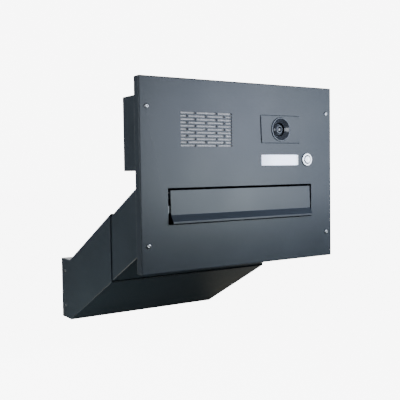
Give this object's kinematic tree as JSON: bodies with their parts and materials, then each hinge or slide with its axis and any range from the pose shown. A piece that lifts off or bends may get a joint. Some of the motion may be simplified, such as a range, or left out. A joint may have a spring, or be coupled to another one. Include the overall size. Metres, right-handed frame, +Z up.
{
  "type": "through-wall mailbox with door station",
  "caption": "Through-wall mailbox: folded front plate with letter flap, grille, camera and bell button, telescopic sloping chute and a lockable rear door.",
  "frame": {"origin": "on the wall plane, on the centre line of the front plate, in the middle of the wall frame's lower strip, 26 mm above the plate's lower edge", "axes": "+X to the right seen from the street, +Y into the wall, +Z up"},
  "size_m": [0.414, 0.4459, 0.4685],
  "materials": {
    "powder_coat": "satin anthracite powder coat",
    "stainless": "brushed",
    "zinc": "zinc plated",
    "black_plastic": "moulded, matt",
    "gloss_black": "polished",
    "lens_glass": "coated lens glass",
    "opal_acrylic": "opal, polished",
    "card": "matt white card",
    "rubber": "matt",
    "circuit_board": "solder mask",
    "terminal_grey": "moulded",
    "paper_cone": "pressed paper"
  },
  "bodies": {
    "housing": {"front_panel": "powder_coat", "wall_frame": "zinc", "panel_standoff_lower_left": "zinc", "panel_standoff_lower_right": "zinc", "panel_standoff_upper_left": "zinc", "panel_standoff_upper_right": "zinc", "panel_screw_lower_left": "stainless", "panel_screw_lower_right": "stainless", "panel_screw_upper_left": "stainless", "panel_screw_upper_right": "stainless", "flap_hinge_rod": "stainless", "flap_bracket_left": "zinc", "flap_bracket_right": "zinc", "flap_buffer_left": "rubber", "flap_buffer_right": "rubber", "speaker_mesh": "stainless", "speech_housing": "black_plastic", "speaker_basket": "zinc", "speaker_cone": "paper_cone", "microphone": "black_plastic", "camera_plate": "powder_coat", "camera_bezel": "gloss_black", "camera_housing": "black_plastic", "nameplate_window": "opal_acrylic", "nameplate_tab": "stainless", "name_card": "card", "nameplate_holder": "black_plastic", "backlight_board": "circuit_board", "button_collar": "stainless", "button_spring": "zinc", "button_nut": "zinc", "button_switch": "black_plastic", "intercom_box": "powder_coat", "cable_grommet": "rubber", "board_carrier": "black_plastic", "terminal_board": "circuit_board", "terminal_block": "terminal_grey", "inner_chute": "powder_coat"},
    "flap": {"letter_flap": "powder_coat"},
    "bell_button": {"button_cap": "stainless"},
    "camera_ring": {"camera_carrier": "black_plastic"},
    "camera_eye": {"camera_ball": "gloss_black", "camera_lens": "lens_glass"},
    "rear_chute": {"outer_chute": "powder_coat", "rear_frame": "powder_coat", "rear_rivet_lower_left": "stainless", "rear_rivet_lower_right": "stainless", "rear_rivet_upper_left": "stainless", "rear_rivet_upper_right": "stainless", "clamp_screw_left": "black_plastic", "clamp_screw_right": "black_plastic", "chute_hinge_leaf": "stainless", "door_hinge_pin": "stainless"},
    "door": {"rear_door": "powder_coat", "door_hinge_leaf": "stainless", "lock_body": "stainless", "lock_nut": "zinc"},
    "lock": {"lock_plug": "stainless", "lock_cam": "zinc", "cam_screw": "zinc"}
  },
  "joints": [
    {"name": "flap_swing", "type": "hinge", "parent": "housing", "child": "flap", "pos_m": [0, -0.0125, 0.1055], "axis": [-1, 0, 0], "range_deg": [0, 80]},
    {"name": "bell_press", "type": "slide", "parent": "housing", "child": "bell_button", "axis": [0, 1, 0], "range_m": [0, 0.0015], "stiffness_N_per_m": 1200, "springref_m": -0.001, "deforming": ["button_spring"]},
    {"name": "camera_pan", "type": "hinge", "parent": "housing", "child": "camera_ring", "pos_m": [0.0817, -0.004, 0.2141], "axis": [0, 0, 1], "range_deg": [-12, 12]},
    {"name": "camera_tilt", "type": "hinge", "parent": "camera_ring", "child": "camera_eye", "pos_m": [0.0817, -0.004, 0.2141], "axis": [1, 0, 0], "range_deg": [-12, 12]},
    {"name": "chute_slide", "type": "slide", "parent": "housing", "child": "rear_chute", "axis": [0, 0.887, -0.4617], "range_m": [-0.13, 0.02]},
    {"name": "door_swing", "type": "hinge", "parent": "rear_chute", "child": "door", "pos_m": [0.1813, 0.4064, -0.10924], "axis": [0, 0, -1], "range_deg": [0, 110]},
    {"name": "lock_turn", "type": "hinge", "parent": "door", "child": "lock", "pos_m": [-0.146, 0.4, -0.10924], "axis": [0, -1, 0], "range_deg": [0, 90]}
  ]
}
